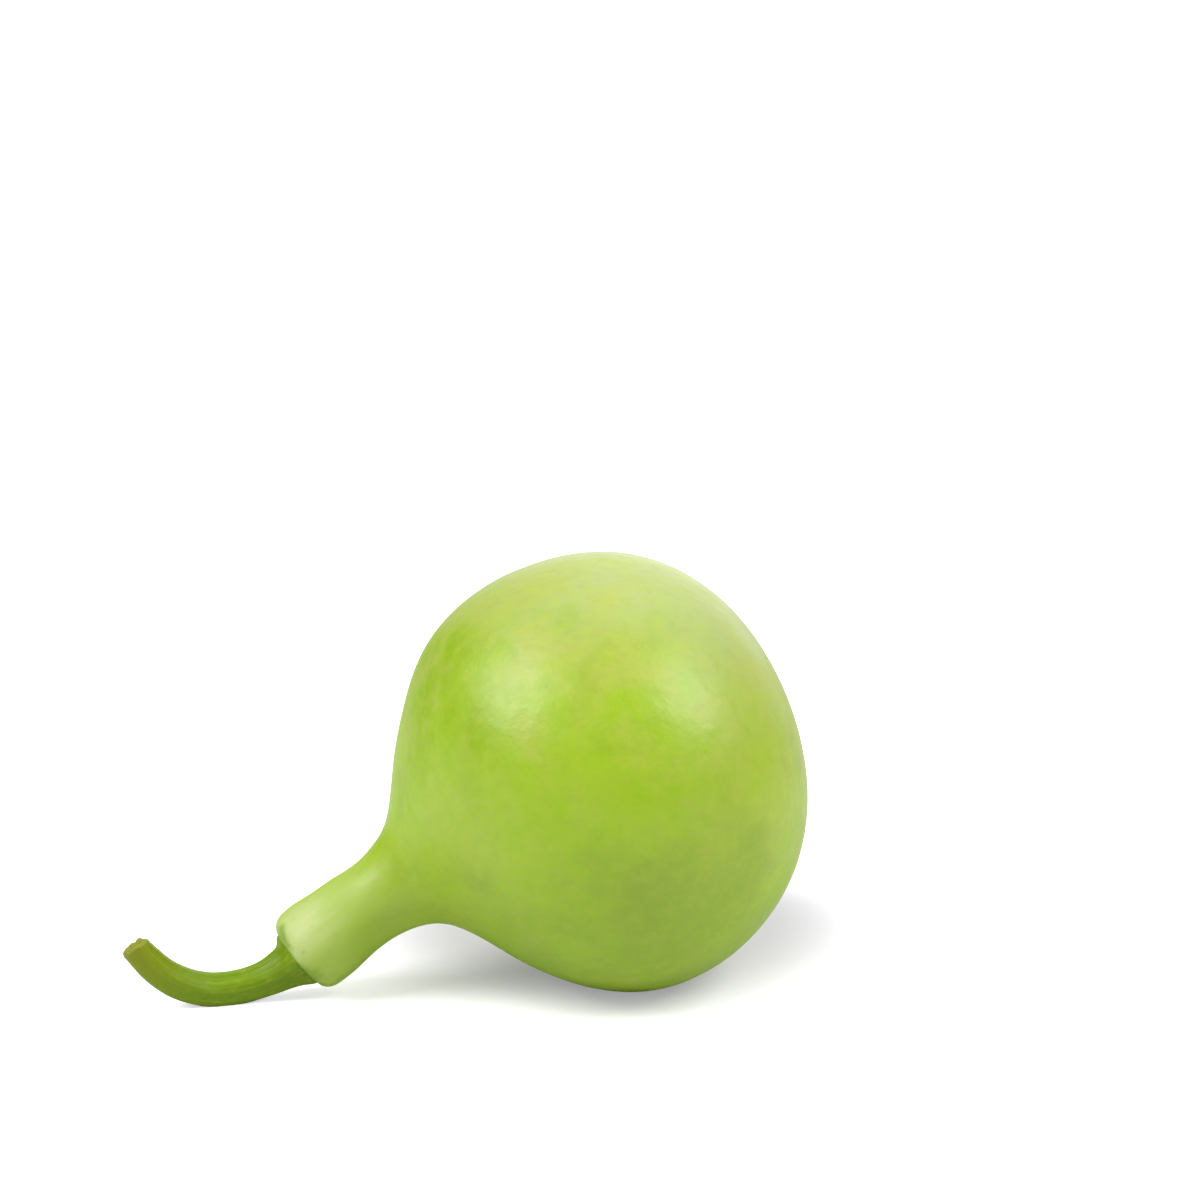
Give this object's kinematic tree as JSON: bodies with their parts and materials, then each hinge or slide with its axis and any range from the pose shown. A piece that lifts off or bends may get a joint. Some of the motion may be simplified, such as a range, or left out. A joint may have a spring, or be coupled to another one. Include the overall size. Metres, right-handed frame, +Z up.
{
  "type": "bottle gourd",
  "caption": "Small round bottle gourd at rest on its side: a globe-shaped green fruit whose shoulder runs into a tapered neck, with a ribbed, curved stem that is cut at its tip.",
  "frame": {"origin": "centre of the bounding box's bottom face, on the surface that the gourd lies on", "axes": "+Z up; +X along the gourd from the stem's tip to the blossom end; +Y across it"},
  "size_m": [0.185, 0.1194, 0.1182],
  "materials": {
    "skin": "smooth waxy gourd skin, pale yellow-green with a soft satin shine and faint mottling",
    "stem": "ribbed green stem, darker than the skin, with a dull fibrous cut end"
  },
  "bodies": {
    "root": {"fruit": "skin", "stem": "stem"}
  },
  "joints": []
}
